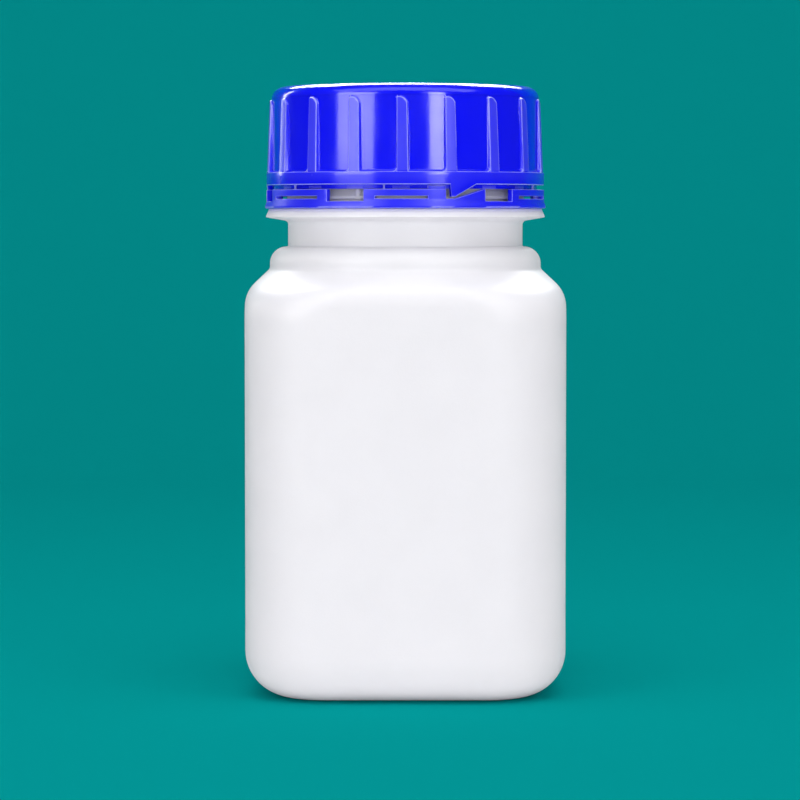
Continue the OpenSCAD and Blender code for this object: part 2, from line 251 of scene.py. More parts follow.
FOOT_RADIUS = 1 * MM                     # where the collar meets the shoulder
RIM_SLOPE = 0.7 * MM                     # how far the skirt ring's rim leans in
BEAD_FLAT = 0.6 * MM                     # upright face of the bead under the thread
LUG_WIDTH, LUG_HEIGHT = 1 * MM, 2.4 * MM
LEAD_IN = 1.6 * MM                       # plain neck between its lip and its thread
FLANK = 0.4                              # what a thread's flank gains in width with depth
THREAD_PLAY = 0.2 * MM                   # between the flanks of the cap and the neck
NECK_GAP = 0.55 * MM                     # from the neck to the cap's thread and the hooks
SINK = 0.3 * MM                          # how deep an added form reaches into its wall
RIB_DROP = 2.6 * MM                      # from the cap's top to the heads of its ribs
GATE_RADIUS, GATE_DEPTH = 1.2 * MM, 0.15 * MM     # dimple in the middle of the cap's top
LOW_EDGE = 0.18 * MM                     # radius of the cap's lower edge
HOOK_RISE = 0.35 * MM                    # from the band's lower edge to its hooks
HOOK_SLOPE = 0.2 * MM                    # how the hooks' undersides slope
STEP_INSET = 0.35 * MM                   # from the band's face to the step on its block
TIE_INSET = 0.3 * MM                     # from the band's bore to a tie
PRESS = 0.06 * MM                        # mark of the neck's lip in the film


def derive(scene):
    """Radii and heights that follow from the settings, from the base up."""
    body, neck, cap, band = (scene.bottle_body, scene.bottle_neck, scene.bottle_cap,
                             scene.bottle_band)
    d = SimpleNamespace()
    d.half = body.width / 2
    d.collar = neck.collar_width / 2
    d.foot = d.collar + FOOT_RADIUS * (1 - math.cos(math.radians(45)))
    d.slope_sum = (d.half + body.side_height
                   + body.shoulder_radius * (math.sqrt(2) - 1))
    d.foot_z = d.slope_sum - d.foot
    d.crown_x = (math.sqrt(2) * (d.half - body.corner_radius) + body.corner_radius
                 - body.crown_radius)
    d.crown_z = (d.foot_z - (d.crown_x - d.foot) * math.tan(body.crown_slope)
                 - body.crown_radius / math.cos(body.crown_slope))
    d.collar_top = d.foot_z + neck.collar_height
    d.waist = neck.waist_width / 2
    d.skirt = neck.skirt_width / 2
    d.skirt_edge = d.collar_top + neck.waist_height
    d.skirt_top = d.skirt_edge + neck.skirt_rim
    d.neck = neck.width / 2
    d.bore = neck.bore / 2
    d.bead = neck.bead_width / 2
    d.bead_z = d.skirt_top + neck.bead_rise
    d.lip = BOX["bottle"][1].z
    d.thread_low = d.lip - LEAD_IN - neck.thread_pitch * 2 - neck.thread_crest

    d.cap = cap.width / 2
    d.cap_low = d.cap + cap.draft / 2
    d.cap_bore = d.cap - cap.wall
    d.cap_top = BOX["screw_cap"][1].z
    d.top_in = d.cap_top - cap.top
    d.flange = d.cap_low + cap.flange_out
    d.flange_z = BOX["break_ties"][1].z
    d.flange_top = d.flange_z + cap.flange_height
    d.rib_top = d.cap_top - RIB_DROP
    d.dog_drop = d.flange_z - BOX["screw_cap"][0].z

    d.band = d.flange
    d.band_bore = d.band - band.wall
    d.band_z = BOX["tamper_band"][0].z
    d.band_top = BOX["break_ties"][0].z
    d.ring_z = d.band_z + band.ring
    d.valley_z = d.band_top - band.valley
    d.slot_top = d.valley_z + band.slot
    d.hook_z = d.band_z + HOOK_RISE
    return d


# ---------------------------------------------------------------- mesh tools

def polar(angle, radius, z):
    """A point at an angle from the front, growing towards +X."""
    turn = math.radians(angle)
    return Vector((radius * math.sin(turn), -radius * math.cos(turn), z))


def spread(start, end, steps):
    """Even values from start up to end, without end."""
    return [start + (end - start) * i / steps for i in range(steps)]


def span(start, end, steps):
    """Even values from start to end, with both."""
    return spread(start, end, steps) + [end]


def spread_through(marks, steps):
    """Even values from the first mark up to the last, with a number of steps for each
    stretch between two marks."""
    return [value for start, end, count in zip(marks, marks[1:], steps)
            for value in spread(start, end, count)]


def arc(x, z, r, start, end, steps):
    """Points (radius, height) of a section's arc, both ends included."""
    turns = [math.radians(angle) for angle in span(start, end, steps)]
    return [(x + r * math.cos(turn), z + r * math.sin(turn)) for turn in turns]


def soften(section, radius, steps=3):
    """A section whose sharp corners are rounded, each within its two sides."""
    straight, most = math.radians(155), 0.45
    points = [Vector(p) for p in section]
    out = [points[0]]
    for before, corner, after in zip(points, points[1:], points[2:]):
        back, on = before - corner, after - corner
        if min(back.length, on.length) < MERGE or back.angle(on) > straight:
            out.append(corner)
            continue
        cut = min(radius / math.tan(back.angle(on) / 2),
                  back.length * most, on.length * most)
        start, end = corner + back.normalized() * cut, corner + on.normalized() * cut
        for t in span(0, 1, steps):
            out.append(start * (1 - t) ** 2 + corner * 2 * t * (1 - t) + end * t ** 2)
    return [tuple(p) for p in out + [points[-1]]]


def clamp(value):
    """A value kept between 0 and 1."""
    return min(1, max(0, value))


def smooth(value):
    """An even step from 0 to 1, with soft ends."""
    t = clamp(value)
    return t * t * (3 - 2 * t)


def add_loft(bm, rings, closed=True):
    """Adds faces that join rings of points, one ring to the next."""
    rows = [[bm.verts.new(point) for point in ring] for ring in rings]
    last = len(rows[0]) - (0 if closed else 1)
    for low, high in zip(rows, rows[1:]):
        for i in range(last):
            j = (i + 1) % len(low)
            bm.faces.new((low[i], low[j], high[j], high[i]))
    return rows


def turned(section, angles):
    """Rings of a section of (radius, height) points, turned through angles."""
    return [[polar(angle, r, z) for angle in angles] for r, z in section]


def add_lathe(bm, section, steps=192):
    """Adds a section of (radius, height) points turned around the axis."""
    add_loft(bm, turned(section, spread(0, 360, steps)))


def add_sweep(bm, sections):
    """Adds a closed bar through closed sections of points, with both ends shut."""
    rows = add_loft(bm, sections)
    bm.faces.new(reversed(rows[0]))
    bm.faces.new(rows[-1])


def add_bar(bm, section, start, end, steps):
    """Adds a bar of one section around the axis, from one angle to another."""
    add_sweep(bm, [[polar(angle, r, z) for r, z in section]
                   for angle in span(start, end, steps)])


def add_thread(bm, root, crest, low, pitch, turns, crest_width):
    """Adds a helical ridge with a rounded crest, which fades out at both ends."""
    steps_per_turn, fade, least = 96, 30, 0.04
    depth = abs(crest - root)
    grow = 1 if crest > root else -1
    half = crest_width / 2
    foot = half + FLANK * (depth + SINK)
    round_off = min(0.25 * MM, half * 0.6)
    sections = []
    for angle in span(0, 360 * turns, round(steps_per_turn * turns)):
        ends = max(least, min(1, angle / fade, (360 * turns - angle) / fade))
        out = depth * math.sin(ends * math.pi / 2)
        top = half + FLANK * (depth - out)
        side = [(-SINK, foot), (0.12 * out, half + FLANK * depth * 0.9),
                (out - round_off * ends, top + 0.02 * MM),
                (out - 0.3 * round_off * ends, top - 0.3 * round_off),
                (out, top - round_off)]
        outline = [(o, -w) for o, w in side] + [(o, w) for o, w in reversed(side)]
        rise = low + pitch * angle / 360
        sections.append([polar(angle, root + grow * o, rise + w) for o, w in outline])
    add_sweep(bm, sections)


def add_block(bm, angle, width, radii, heights, soft, waist=1.0):
    """Adds a small upright block with rounded edges, narrower at its middle."""
    depth, middle = radii[1] - radii[0], (radii[0] + radii[1]) / 2
    quarters = ((1, 1, 0), (-1, 1, 90), (-1, -1, 180), (1, -1, 270))
    sections = []
    for t in span(0, 1, 8):
        z = heights[0] + (heights[1] - heights[0]) * t
        thin = 1 - (1 - waist) * math.sin(math.pi * t)
        half_w, half_d = width / 2 * thin, depth / 2 * thin
        corner = min(soft, half_w * 0.6, half_d * 0.6)
        sections.append([
            polar(angle, middle + y, z) + polar(angle + 90, x, 0)
            for side_x, side_y, start in quarters
            for x, y in arc(side_x * (half_w - corner), side_y * (half_d - corner),
                            corner, start, start + 90, 3)])
    add_sweep(bm, sections)


def mark_outer_edges(bm):
    """Keeps on each vertex how sharply it bends outwards, for its wear and for the
    highlight painted on the cap's and band's edges.
    Corners of large faces stay clear, so that the mark doesn't spread over them."""
    narrowest, largest = 0.06 * MM, 0.3 * MM ** 2
    blunt, more = 1.2, 1.8      # radians per mm: no mark up to it, and on to a full one
    layer = bm.verts.layers.float.new("outer_edge")
    areas = {face: face.calc_area() for face in bm.faces}
    bends = {}
    for edge in bm.edges:
        if len(edge.link_faces) == 2 and edge.calc_length() > MERGE:
            across = sum(areas[face] for face in edge.link_faces) / 2 / edge.calc_length()
            bends[edge] = edge.calc_face_angle_signed(0) / max(across, narrowest)
    for vert in bm.verts:
        if all(areas[face] < largest for face in vert.link_faces):
            bend = max((bends.get(edge, 0) for edge in vert.link_edges), default=0) * MM
            vert[layer] = clamp((bend - blunt) / more)


def merge_doubles(bm):
    """Joins points that lie on each other, and turns the faces outwards."""
    bmesh.ops.remove_doubles(bm, verts=bm.verts, dist=MERGE)
    bmesh.ops.recalc_face_normals(bm, faces=bm.faces)


def add_object(name, bm, material):
    """Makes an object with smooth faces of what has been added, and links it."""
    for face in bm.faces:
        face.smooth = True
    mesh = bpy.data.meshes.new(name)
    bm.to_mesh(mesh)
    bm.free()
    mesh.materials.append(material)
    made = bpy.data.objects.new(name, mesh)
    bpy.context.scene.collection.objects.link(made)
    return made


def add_piece(name, bm, material, node, sharp=38):
    """Makes a named piece that stands for a CAD node and rides on its body."""
    merge_doubles(bm)
    mark_outer_edges(bm)
    piece = add_object(name, bm, material)
    piece.data.set_sharp_from_angle(angle=math.radians(sharp))
    record = frame["record"]
    bodies = record["behaviour"]["bodies"]
    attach(piece, next(body for body, held in bodies.items() if node in held))
    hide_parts(node)
    return piece


# ---------------------------------------------------------------- finishes

def connect(tree, socket, value):
    """Links an output to a socket, or sets the socket's own value."""
    if isinstance(value, bpy.types.NodeSocket):
        tree.links.new(value, socket)
    else:
        socket.default_value = value


def feed(tree, node, **values):
    """Connects a node's inputs by name, with underscores for spaces."""
    for key, value in values.items():
        connect(tree, node.inputs[key.replace("_", " ")], value)
    return node.outputs


def add_node(tree, kind, **values):
    """Adds a shader node with its inputs, and gives its outputs."""
    return feed(tree, tree.nodes.new(kind), **values)


def add_math(tree, operation, first, second, clamped=False):
    """Adds a Math node, and gives its output."""
    node = tree.nodes.new("ShaderNodeMath")
    node.operation = operation
    node.use_clamp = clamped
    connect(tree, node.inputs[0], first)
    connect(tree, node.inputs[1], second)
    return node.outputs[0]


def add_blend(tree, mask, first, second):
    """Adds a Mix node for colours, and gives its output."""
    node = tree.nodes.new("ShaderNodeMix")
    node.data_type = "RGBA"
    # the sockets that a Mix node has for colours
    for index, value in ((0, mask), (6, first), (7, second)):
        connect(tree, node.inputs[index], value)
    return node.outputs[2]


def add_range(tree, value, **limits):
    """Adds a Map Range node, and gives its result."""
    return add_node(tree, "ShaderNodeMapRange", Value=value, **limits)["Result"]


def add_noise(tree, place, size, **values):
    """Adds noise with spots of a size in metres, and gives its strength."""
    return add_node(tree, "ShaderNodeTexNoise", Vector=place, **values,
                    Scale=add_math(tree, "DIVIDE", 1, size))["Fac"]


def add_bump(tree, height, distance):
    """Gives the normal of a surface that is raised by a height between 0 and 1."""
    return add_node(tree, "ShaderNodeBump", Height=height, Distance=distance)["Normal"]


def read_mark(tree, name):
    """Reads a value that the mesh keeps on its vertices."""
    node = tree.nodes.new("ShaderNodeAttribute")
    node.attribute_name = name
    return node.outputs["Fac"]


def read_place(tree):
    """Reads the place on the piece, in metres."""
    return add_node(tree, "ShaderNodeTexCoord")["Object"]


def tinted(base, share_kept=1.0):
    """A colour with its alpha, darkened to a share of itself."""
    return (*(channel * share_kept for channel in base), 1)


def make_group(name, inputs, outputs):
    """An empty shader node group, with its inputs' default values and its outputs."""
    tree = bpy.data.node_groups.new(name, "ShaderNodeTree")
    for label, value in inputs.items():
        socket = tree.interface.new_socket(label, in_out="INPUT",
                                           socket_type="NodeSocketFloat")
        socket.default_value = value
    for label in outputs:
        tree.interface.new_socket(label, in_out="OUTPUT", socket_type="NodeSocketFloat")
    given = tree.nodes.new("NodeGroupInput").outputs
    return tree, given, tree.nodes.new("NodeGroupOutput")


def make_moulded_skin(name):
    """Fine grain and slow mottling of a moulded surface. Sizes are in metres."""
    tree, given, result = make_group(
        name, {"Grain Size": 0.3 * MM, "Mottle Size": 6 * MM, "Mottle Share": 0.4},
        ("Height", "Mottle"))
    place = read_place(tree)
    grain = add_noise(tree, place, given["Grain Size"], Detail=3.0, Roughness=0.55)
    mottle = add_noise(tree, place, given["Mottle Size"], Detail=4.0, Roughness=0.5,
                       Distortion=0.3)
    slow = add_math(tree, "MULTIPLY", mottle, given["Mottle Share"])
    fine = add_math(tree, "MULTIPLY", grain,
                    add_math(tree, "SUBTRACT", 1, given["Mottle Share"]))
    feed(tree, result, Height=add_math(tree, "ADD", slow, fine),
         Mottle=add_range(tree, mottle, From_Min=0.35, From_Max=0.65))
    return tree


def make_outer_edge_mask(name):
    """Outward edges, broken up by noise, for rubbed wear and, on the cap and band, a
    painted highlight.
    """
    tree, given, result = make_group(
        name, {"Reach": 1.0, "Breakup Size": 1.2 * MM, "Breakup": 0.5}, ("Mask",))
    spots = add_noise(tree, read_place(tree), given["Breakup Size"], Detail=3.0,
                      Roughness=0.6)
    keep = add_range(tree, spots, From_Min=0.35, From_Max=0.6,
                     To_Min=add_math(tree, "SUBTRACT", 1, given["Breakup"]))
    reach = add_math(tree, "MULTIPLY", read_mark(tree, "outer_edge"), given["Reach"],
                     clamped=True)
    feed(tree, result, Mask=add_math(tree, "MULTIPLY", reach, keep))
    return tree


def make_scuffs(name):
    """Short fine scratches from handling, in two directions."""
    tree, given, result = make_group(name, {"Scratch Size": 4 * MM, "Amount": 0.3},
                                     ("Mask",))
    place = read_place(tree)
    masks = []
    for tilt in (0.5, -0.9):
        along = add_node(tree, "ShaderNodeMapping", Vector=place,
                         Rotation=(0.3, tilt, 0.2), Scale=(9, 9, 1))["Vector"]
        lines = add_noise(tree, along, given["Scratch Size"], Detail=2.0, Roughness=0.4)
        masks.append(add_range(tree, lines, From_Min=0.64, From_Max=0.7))
    both = add_math(tree, "MAXIMUM", *masks)
    feed(tree, result, Mask=add_math(tree, "MULTIPLY", both, given["Amount"]))
    return tree


GROUPS = {
    "moulded skin": make_moulded_skin,
    "edge wear": make_outer_edge_mask,
    "scuffs": make_scuffs,
}


def place_group(tree, name, **values):
    """Places a shared effect in a material, with the material's own values."""
    node = tree.nodes.new("ShaderNodeGroup")
    node.node_tree = bpy.data.node_groups.get(name) or GROUPS[name](name)
    return feed(tree, node, **values)


def get_material(dress, *values, name=None):
    """A material, dressed the first time that it is asked for. It has the name of its
    finish, or one of its own."""
    name = name or dress.__name__
    material = bpy.data.materials.get(name)
    if not material:
        material = bpy.data.materials.new(name)
        material.use_nodes = True
        tree = material.node_tree
        dress(tree, tree.nodes["Principled BSDF"], *values)
    return material


def blown_polyethylene(tree, shader, white):
    """Satin white polyethylene, a little translucent, with a blown skin."""
    skin = place_group(tree, "moulded skin", Grain_Size=0.35 * MM, Mottle_Size=9 * MM,
                       Mottle_Share=0.5)
    edge_mask = place_group(tree, "edge wear", Reach=0.8, Breakup_Size=2 * MM, Breakup=0.7)
    scuffs = place_group(tree, "scuffs", Scratch_Size=6 * MM, Amount=0.5)
    shade = add_blend(tree, skin["Mottle"], tinted(white, 0.985), tinted(white))
    shade = add_blend(tree, edge_mask["Mask"], shade, tinted(white, 0.96))
    rough = add_range(tree, skin["Mottle"], To_Min=0.4, To_Max=0.48)
    rough = add_math(tree, "SUBTRACT", rough,
                     add_math(tree, "MULTIPLY", scuffs["Mask"], 0.15))
    feed(tree, shader, Base_Color=shade, Roughness=rough, IOR=1.5,
         Specular_IOR_Level=0.4, Subsurface_Weight=0.12, Subsurface_Scale=1.5 * MM,
         Subsurface_Radius=(1.0, 0.95, 0.9),
         Normal=add_bump(tree, skin["Height"], 0.03 * MM))


def moulded_polypropylene(tree, shader, deep, pale, dullness, coat):
    """Glossy blue polypropylene, duller on the faces that are gripped, with pale edges
    that are partly rubbed wear and partly a painted highlight.
    """
    skin = place_group(tree, "moulded skin", Grain_Size=0.4 * MM, Mottle_Size=4 * MM,
                       Mottle_Share=0.7)
    edge_mask = place_group(tree, "edge wear", Reach=1.0, Breakup_Size=1.5 * MM, Breakup=0.3)
    scuffs = place_group(tree, "scuffs", Scratch_Size=4 * MM, Amount=0.1)
    face = read_mark(tree, "grip_face")
    # painted highlight: the outward edges are mixed towards pale blue, partly
    # stress-whitened wear and partly standing in for the gleam of their small roundings
    shade = add_blend(tree, add_math(tree, "MULTIPLY", edge_mask["Mask"], 0.8), tinted(deep),
                      tinted(pale))
    # painted sheen: the gripped faces are tinted a little towards pale blue, standing in
    # for the broad sheen of their duller finish
    shade = add_blend(tree, add_math(tree, "MULTIPLY", face, 0.08), shade, tinted(pale))
    rough = add_range(tree, skin["Mottle"], To_Min=dullness, To_Max=dullness + 0.07)
    for mask, amount in ((face, 0.2), (scuffs["Mask"], 0.3)):
        rough = add_math(tree, "ADD", rough, add_math(tree, "MULTIPLY", mask, amount))
    feed(tree, shader, Base_Color=shade, Roughness=rough, IOR=1.5, Coat_Weight=coat,
         Coat_Roughness=0.08, Coat_IOR=1.5, Subsurface_Weight=0.5,
         Subsurface_Scale=1.5 * MM, Subsurface_Radius=(0.1, 0.15, 1.0),
         Normal=add_bump(tree, skin["Height"], 0.018 * MM))


def foamed_wad(tree, shader, foam):
    """Foamed polyethylene: matte, with the mouths of small closed cells."""
    cells_per_metre = 2600.0
    cells = add_node(tree, "ShaderNodeTexVoronoi", Vector=read_place(tree),
                     Scale=cells_per_metre)
    pit = add_range(tree, cells["Distance"], From_Max=0.45)
    skin = place_group(tree, "moulded skin", Grain_Size=0.5 * MM, Mottle_Size=5 * MM,
                       Mottle_Share=0.4)
    feed(tree, shader, Specular_IOR_Level=0.3,
         Base_Color=add_blend(tree, pit, tinted(foam, 0.86), tinted(foam)),
         Roughness=add_range(tree, skin["Mottle"], To_Min=0.75, To_Max=0.9),
         Normal=add_bump(tree, pit, 0.06 * MM))


def facing_film(tree, shader, film):
    """A smooth film, pressed where it seals on the lip."""
    skin = place_group(tree, "moulded skin", Grain_Size=0.8 * MM, Mottle_Size=7 * MM,
                       Mottle_Share=0.8)
    edge_mask = place_group(tree, "edge wear", Reach=1.0, Breakup_Size=2 * MM, Breakup=0.3)
    shade = add_blend(tree, skin["Mottle"], tinted(film), tinted(film, 0.94))
    feed(tree, shader, IOR=1.5,
         Base_Color=add_blend(tree, edge_mask["Mask"], shade, tinted(film, 0.9)),
         Roughness=add_range(tree, skin["Mottle"], To_Min=0.2, To_Max=0.34),
         Normal=add_bump(tree, skin["Height"], 0.02 * MM))


def cap_gloss(finish):
    """The cap's polypropylene, with a light coat."""
    return get_material(moulded_polypropylene, finish.blue, finish.pale_blue, 0.1, 0.2,
                        name="cap_gloss")


def band_gloss(finish):
    """The duller polypropylene of the band and its ties."""
    return get_material(moulded_polypropylene, finish.blue, finish.pale_blue, 0.32, 0,
                        name="band_gloss")


# ---------------------------------------------------------------- the bottle

def side_reach(angle, half, corner):
    """Radius of a rounded square at an angle, from its half width and corner radius."""
    across = abs(math.radians((angle + 45) % 90 - 45))
    flat = half - corner
    if half * math.tan(across) <= flat:
        return half / math.cos(across)
    middle = flat * (math.cos(across) + math.sin(across))
    return middle + math.sqrt(max(0, corner ** 2 - 2 * flat ** 2 + middle ** 2))


def body_levels(body, d):
    """Levels (half width, height, corner radius, tilt) of the body, from its base up."""
    # the turn from the base into the sides, then the sides as far as the crown
    levels = []
    for tilt in spread(-90, 0, 16):
        turn = math.radians(tilt)
        inset = body.base_radius * (1 - math.cos(turn))
        levels.append((d.half - inset, body.base_radius * (1 + math.sin(turn)),
                       body.corner_radius - inset, tilt))
    levels += [(d.half, z, body.corner_radius, 0)
               for z in spread(body.base_radius, d.crown_z, 22)]
    # the crown, whose corners draw in: end of the sides, bend and slope to the collar
    crown = [(d.half, z, 0) for z in spread(d.crown_z, body.side_height, 10)]
    bend = body.shoulder_radius
    for tilt in spread(0, 45, 10):
        turn = math.radians(tilt)
        crown.append((d.half - bend * (1 - math.cos(turn)),
                      body.side_height + bend * math.sin(turn), tilt))
    bend_top = body.side_height + bend * math.sin(math.radians(45))
    crown += [(d.slope_sum - z, z, 45) for z in span(bend_top, d.foot_z, 7)]
    return levels + [(half, z, crown_corner(body, d, half, z), tilt)
                     for half, z, tilt in crown]


def crown_corner(body, d, half, z):
    """Corner radius of the shoulder at a level, from how far its diagonal reaches."""
    rise = z - d.crown_z
    if rise < body.crown_radius * math.cos(body.crown_slope):
        reach = d.crown_x + math.sqrt(body.crown_radius ** 2 - rise ** 2)
    else:
        reach = d.foot + (d.foot_z - z) / math.tan(body.crown_slope)
    return min(half, (half * math.sqrt(2) - reach) / (math.sqrt(2) - 1))


def body_rings(body, d, angles, inset):
    """Rings of the body's outer skin, or of its inner skin at an inset."""
    least_corner, fade = 2 * MM, 8 * MM
    middle = (body.base_radius + body.side_height) / 2
    reach = (body.side_height - body.base_radius) / 2
    rings = []
    for half, z, corner, tilt in body_levels(body, d):
        turn = math.radians(tilt)
        across, up = inset * math.cos(turn), inset * math.sin(turn)
        corner_in = max(least_corner, corner - across)
        calm = smooth((reach - abs(z - middle)) / fade + 0.1)
        ring = []
        for angle in angles:
            radius = side_reach(angle, half - across, corner_in)
            if not inset:
                radius -= calm * body_unevenness(body, d, angle, radius, z)
            ring.append(polar(angle, radius, z - up))
        rings.append(ring)
    return rings


def body_unevenness(body, d, angle, radius, z):
    """How far the blown skin lies under the plain form at a point of the sides."""
    long_wave, short_wave, seam_width = 14 * MM, 5 * MM, 0.5 * MM
    across = math.radians((angle + 45) % 90 - 45)
    along = radius * math.sin(across) / (d.half - body.corner_radius)
    hollow = body.bow * max(0, 1 - along ** 2)
    point = polar(angle, radius, z)
    wave = (0.5 + 0.5 * noise.noise(point / long_wave)
            + 0.2 * noise.noise(point / short_wave))
    away = min(abs(angle - seam) for seam in SEAM_ANGLES) * math.radians(1) * radius
    ridge = body.seam * max(0, 1 - away / seam_width)
    return hollow + body.ripple * wave - ridge


def base_section(body, inset):
    """Section under the base, from the middle of its hollow to the foot of the sides."""
    half = body.push_up_width / 2
    dome = (half ** 2 + body.push_up ** 2) / (2 * body.push_up)
    section = []
    for radius in HOLLOW:
        radius *= MM
        z = body.push_up - dome + math.sqrt((dome + inset) ** 2 - radius ** 2)
        section.append((radius, max(z, inset)))
    return section + [(radius * MM, inset + rise * MM) for radius, rise in HOLLOW_EDGE]


def neck_section(body, neck, d):
    """Section of everything round above the shoulder, outside and back down inside."""
    tilt = math.degrees(neck.skirt_tilt)
    root_r = neck.skirt_root
    root_x = d.waist + root_r
    root_z = (d.skirt_edge - (d.skirt - root_x) * math.tan(neck.skirt_tilt)
              - root_r / math.cos(neck.skirt_tilt))
    turn_x = d.collar - neck.collar_round
    turn_z = d.collar_top - neck.collar_round
    waist_turn = turn_x - d.waist
    waist = (
        arc(d.collar + FOOT_RADIUS, d.foot_z + FOOT_RADIUS * math.sin(math.radians(45)),
            FOOT_RADIUS, 225, 180, 6)
        + arc(turn_x, turn_z, neck.collar_round, 0, 90, 14)
        + arc(d.waist + waist_turn, d.collar_top + waist_turn, waist_turn, 270, 180, 4)
        + arc(root_x, root_z, root_r, 180, 90 + tilt, 8))
    bead_top = d.bead_z + BEAD_FLAT
    finish = [(d.skirt, d.skirt_edge), (d.skirt - RIM_SLOPE, d.skirt_top),
              (d.neck, d.skirt_top), (d.neck, d.bead_z), (d.bead, d.bead_z),
              (d.bead, bead_top), (d.neck, bead_top + d.bead - d.neck),
              (d.neck, d.lip), (d.bore, d.lip)]
    waist_bore, collar_bore = d.waist - body.wall, d.collar - body.wall
    collar_roof = turn_z + neck.collar_round - body.wall
    bores = [(d.bore, d.skirt_top), (waist_bore, d.skirt_edge),
             (waist_bore, collar_roof), (collar_bore, collar_roof),
             (collar_bore, d.foot_z)]
    return soften(waist, 0.1 * MM) + soften(waist[-1:] + finish + bores, 0.2 * MM)[1:]


def build_bottle(scene):
    """The blown body, its neck with thread, bead and lugs, and the hollow inside."""
    body, neck, d = scene.bottle_body, scene.bottle_neck, derive(scene)
    angles = spread(0, 360, 320)
    outer, inner = (turned(base_section(body, inset), angles)
                    + body_rings(body, d, angles, inset) for inset in (0, body.wall))
    bm = bmesh.new()
    add_loft(bm, outer + turned(neck_section(body, neck, d), angles) + inner[::-1])
    add_thread(bm, d.neck, d.neck + neck.thread_depth, d.thread_low, neck.thread_pitch, 2,
               neck.thread_crest)
    for angle in LUG_ANGLES:
        add_block(bm, angle, LUG_WIDTH, (d.neck - SINK, d.bead),
                  (d.bead_z, d.bead_z + LUG_HEIGHT), 0.2 * MM)
    add_piece("bottle_shell", bm,
              get_material(blown_polyethylene, scene.bottle_finish.white), "bottle")


# ---------------------------------------------------------------- the cap

def round_corner(first, second, radius):
    """Depth inside two edges that meet in a rounded corner."""
    if first < radius and second < radius:
        return radius - math.hypot(radius - first, radius - second)
    return min(first, second)


def rib_share(d, z):
    """Height on a rib, from 0 at the flange to 1 at its head."""
    return (z - d.flange_top) / (d.rib_top - d.flange_top)


def rib_depth(cap, d, offset, z):
    """How far a point of the wall lies inside the outline of the nearest rib."""
    left_head = 0.3 * MM
    left = offset + cap.rib_width / 2
    right = cap.rib_width / 2 - cap.rib_lean * rib_share(d, z) - offset
    below = d.rib_top - z
    depth = min(round_corner(right, below, cap.rib_head),
                round_corner(left, below, left_head))
    foot, rise = -left, z - d.flange_top
    if 0 <= foot < cap.rib_foot and rise < cap.rib_foot:
        depth = max(depth, math.hypot(cap.rib_foot - foot, cap.rib_foot - rise)
                    - cap.rib_foot)
    return depth


def wall_rise(cap, d, offset, z):
    """Height of the ribs and the flange above the cap's wall, and how dull they are."""
    flange_dull = 0.4
    face = smooth(rib_depth(cap, d, offset, z) / cap.rib_soft + 0.5)
    rib = face * (cap.rib_low + (cap.rib_high - cap.rib_low) * clamp(rib_share(d, z)))
    flange = smooth((d.flange_top - z) / cap.flange_soft + 0.6)
    return (max(rib, cap.flange_out * flange),
            max(face * (1 - flange), flange_dull * flange))


def cap_columns(cap, d):
    """Columns (angle, offset from the nearest rib, lean) around the cap."""
    edge = cap.rib_width / 2
    pitch = 360 / cap.rib_count
    half = math.radians(pitch / 2) * d.cap
    # closest together where a rib's sides rise
    offsets = spread_through((-half, -edge - 0.9 * MM, -edge - 0.3 * MM,
                              -edge + 0.3 * MM, 0.75 * MM, edge + 0.25 * MM, half),
                             (4, 4, 8, 8, 9, 5))

    def lean(x):
        """How far a column follows the leaning right side of its rib."""
        return smooth((x + edge) / (1.6 * edge)) * smooth((half - x) / (half - edge))

    columns = [(RIB_START + i * pitch + math.degrees(x / d.cap), x, lean(x))
               for i in range(cap.rib_count) for x in offsets]
    # the dogs' edges get columns of their own
    for angle in [mark + i * THIRD for i in range(REPEATS) for mark in DOG_MARKS]:
        rib = round((angle - RIB_START) / pitch)
        x = math.radians(angle - RIB_START - rib * pitch) * d.cap
        columns = [column for column in columns
                   if abs((column[0] - angle + 180) % 360 - 180) > MARK_ROOM]
        columns.append((angle, x, lean(x)))
    return sorted(columns, key=lambda column: (column[0] + 360) % 360)


def dog_reach(d, angle):
    """How far the flange's lower edge hangs down at an angle, for the dogs."""
    at = angle % THIRD
    if at <= DOG[0] or at >= DOG[2]:
        return 0
    slope = (DOG[2] - at) / (DOG[2] - DOG[1])
    return d.dog_drop * min(1, slope)


def cap_wall(cap, d, column):
    """A column of the ribbed wall and the flange, as (radius, height, dullness, angle).
    Its angle follows the leaning side of the nearest rib."""
    angle, offset, lean = column
    top, head, foot = d.cap_top - cap.edge_radius, d.rib_top, d.flange_top
    # closest together round the ribs' heads and where the flange rises
    heights = spread_through((top, head + 0.3 * MM, head - 0.4 * MM, head - 1.3 * MM,
                              foot + 1 * MM, foot + 0.2 * MM, foot - 0.2 * MM),
                             (2, 9, 6, 9, 8, 8))
    points = []
    for z in heights + [foot - 0.2 * MM, foot - 0.8 * MM]:
        shift = cap.rib_lean * clamp(rib_share(d, z)) * lean
        rise, dullness = wall_rise(cap, d, offset - shift, z)
        wall = d.cap_low + (d.cap - d.cap_low) * clamp((z - foot) / (top - foot))
        points.append((wall + rise, z, dullness, angle - math.degrees(shift / d.cap)))
    return points


